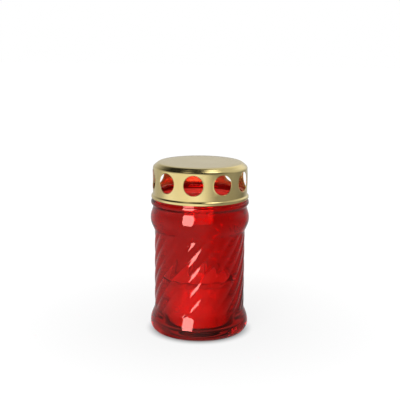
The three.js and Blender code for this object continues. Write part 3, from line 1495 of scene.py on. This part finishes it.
@dataclass
class Studio:
    """A white sweep under soft boxes, and the camera that looks down on the lamp."""

    middle: Vector
    camera_azimuth: float = 8
    camera_away: float = 0.680
    camera_height: float = 0.2317
    camera_pitch: float = 0.1991
    camera_roll: float = 0.45
    lens: float = 87.84
    boxes: tuple[SoftBox, ...] = (
        SoftBox(
            "tall_soft_box",
            azimuth=-27.5,
            elevation=26,
            distance=1.1,
            width=0.5,
            height=1.42,
            radiance=26.0,
            receivers=("pressed_jar", "floor"),
        ),
        SoftBox(
            "fill_soft_box",
            azimuth=5,
            elevation=25,
            distance=1.2,
            width=1.2,
            height=1.0,
            radiance=21.0,
            mirrored=False,
        ),
    )
    walls: tuple[Wall, ...] = (
        Wall(azimuth=-34, elevation=-14, spread=75, radiance=0.95),
        Wall(azimuth=-108, elevation=-6, spread=50, radiance=0.5),
        Wall(azimuth=60, elevation=-40, spread=100, radiance=0.35),
        Wall(azimuth=180, elevation=8, spread=60, radiance=0.6),
        Wall(azimuth=125, elevation=40, spread=50, radiance=0.6),
        Wall(azimuth=78, elevation=72, spread=14, radiance=2.6),
        Wall(azimuth=-78, elevation=72, spread=9, radiance=0.8),
    )

    def camera(self) -> None:
        """Adds the camera and makes it the scene's."""
        azimuth = math.radians(self.camera_azimuth)
        across = math.sin(azimuth) * self.camera_away
        back = -math.cos(azimuth) * self.camera_away
        place = (across, back, self.camera_height)
        deselect_all()
        bpy.ops.object.camera_add(location=place)
        camera = bpy.context.object
        camera.name = "camera"
        turned = Matrix.Rotation(azimuth, 3, "Z")
        tilted = Matrix.Rotation(math.pi / 2 - self.camera_pitch, 3, "X")
        rolled = Matrix.Rotation(math.radians(self.camera_roll), 3, "Z")
        camera.rotation_euler = (turned @ tilted @ rolled).to_euler()
        camera.data.lens = self.lens
        camera.data.clip_start = 0.01
        bpy.context.scene.camera = camera

    def lights(self) -> None:
        """Adds the soft boxes."""
        for box in self.boxes:
            box.place(self.middle, self.camera_azimuth)

    def room(self) -> None:
        """Gives the room its white backdrop, and the dim front and paler back that the lamp mirrors."""
        world = bpy.data.worlds.new("white_room")
        bpy.context.scene.world = world
        world.use_nodes = True
        tree = world.node_tree
        tree.nodes.clear()
        seen = add_node(tree, "ShaderNodeLightPath")
        direction = add_node(tree, "ShaderNodeTexCoord")
        glow = None
        for wall in self.walls:
            lit = wall.strength(tree, direction.outputs["Generated"], self.camera_azimuth)
            if glow is None:
                glow = lit
            else:
                both = add_node(tree, "ShaderNodeMath", inputs={0: glow, 1: lit})
                glow = both.outputs["Value"]
        white = linear("ffffff")
        mirrored = add_node(tree, "ShaderNodeBackground", inputs={"Color": white, "Strength": glow})
        plain = add_node(tree, "ShaderNodeBackground", inputs={"Color": white, "Strength": 1.0})
        both = add_node(
            tree,
            "ShaderNodeMixShader",
            inputs={
                "Fac": seen.outputs["Is Glossy Ray"],
                1: plain.outputs["Background"],
                2: mirrored.outputs["Background"],
            },
        )
        add_node(tree, "ShaderNodeOutputWorld", inputs={"Surface": both.outputs["Shader"]})

    def floor(self) -> None:
        """Lays the pale floor: a near-white glow with a painted shadow, dark under the jar's foot and
        lighter out to 20 cm, and hidden from reflections.
        """
        deselect_all()
        bpy.ops.mesh.primitive_plane_add(size=6, location=(0, 0, 0))
        floor = bpy.context.object
        floor.name = floor.data.name = "floor"
        bpy.ops.object.transform_apply(location=True, rotation=True, scale=True)
        material, tree = new_material("matt_white_sweep")
        place = add_node(tree, "ShaderNodeTexCoord")
        away = add_node(
            tree,
            "ShaderNodeVectorMath",
            settings={"operation": "LENGTH"},
            inputs={0: place.outputs["Object"]},
        )
        # Painted shadow: the glow falls to almost nothing under the jar's foot and comes up to most of its
        # strength by 4 cm out.
        shade = add_node(
            tree,
            "ShaderNodeMapRange",
            settings={"interpolation_type": "SMOOTHSTEP"},
            inputs={
                "Value": away.outputs["Value"],
                "From Min": 0.026,
                "From Max": 0.040,
                "To Min": 0.03,
                "To Max": 0.86,
            },
        )
        # Painted shade: the last of the glow comes in slowly out to 20 cm, so the floor is a little darker
        # near the jar.
        painted_shade_fade = add_node(
            tree,
            "ShaderNodeMapRange",
            inputs={
                "Value": away.outputs["Value"],
                "From Min": 0.04,
                "From Max": 0.2,
                "To Min": 0.0,
                "To Max": 0.14,
            },
        )
        lit = add_node(tree, "ShaderNodeMath", inputs={0: shade.outputs["Result"], 1: painted_shade_fade.outputs["Result"]})
        glow = add_node(
            tree, "ShaderNodeEmission", inputs={"Color": linear("ffffff"), "Strength": lit.outputs["Value"]}
        )
        paper = add_node(tree, "ShaderNodeBsdfDiffuse", inputs={"Color": linear("202020")})
        both = add_node(
            tree, "ShaderNodeAddShader", inputs={0: paper.outputs["BSDF"], 1: glow.outputs["Emission"]}
        )
        add_node(tree, "ShaderNodeOutputMaterial", inputs={"Surface": both.outputs["Shader"]})
        floor.visible_glossy = False
        floor.data.materials.append(material)
        floor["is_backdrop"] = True

    def build(self) -> None:
        """Sets up the camera, the lights, the room and the floor."""
        scene = bpy.context.scene
        scene.view_settings.view_transform = "Standard"
        scene.cycles.max_bounces = 24
        scene.cycles.transmission_bounces = 24
        scene.cycles.glossy_bounces = 8
        self.camera()
        self.room()
        self.floor()
        self.lights()


def main() -> None:
    """Builds the lamp on its frame, then the studio round it."""
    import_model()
    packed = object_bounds()
    jar_low, jar_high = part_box("glass_jar")
    cap_low, cap_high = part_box("vent_cap")
    cup_low, cup_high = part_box("insert_cup")
    wax_low, wax_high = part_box("wax_fill")
    wick_low, wick_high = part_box("wick")
    tab_low, tab_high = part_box("wick_tab")
    glue_low, glue_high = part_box("glue_dot")
    jar = GlassJar(radius=jar_high.x, rim=jar_high.z)
    body = jar.build()
    jar.dress(body)
    hand_over(body, Body.JAR, "glass_jar")
    cap = VentedCap(edge=cap_high.x, top=cap_high.z, bottom=cap_low.z)
    lid = cap.build()
    cap.dress(lid)
    hand_over(lid, Body.CAP, "vent_cap")
    CandleInsert(
        cup_low, cup_high, wax_low, wax_high, wick_low, wick_high, tab_low, tab_high, glue_low, glue_high
    ).build()
    Studio(middle=(packed[0] + packed[1]) / 2).build()


if __name__ == "__main__":
    logging.basicConfig(level=logging.INFO, format="%(name)s: %(message)s")
    main()
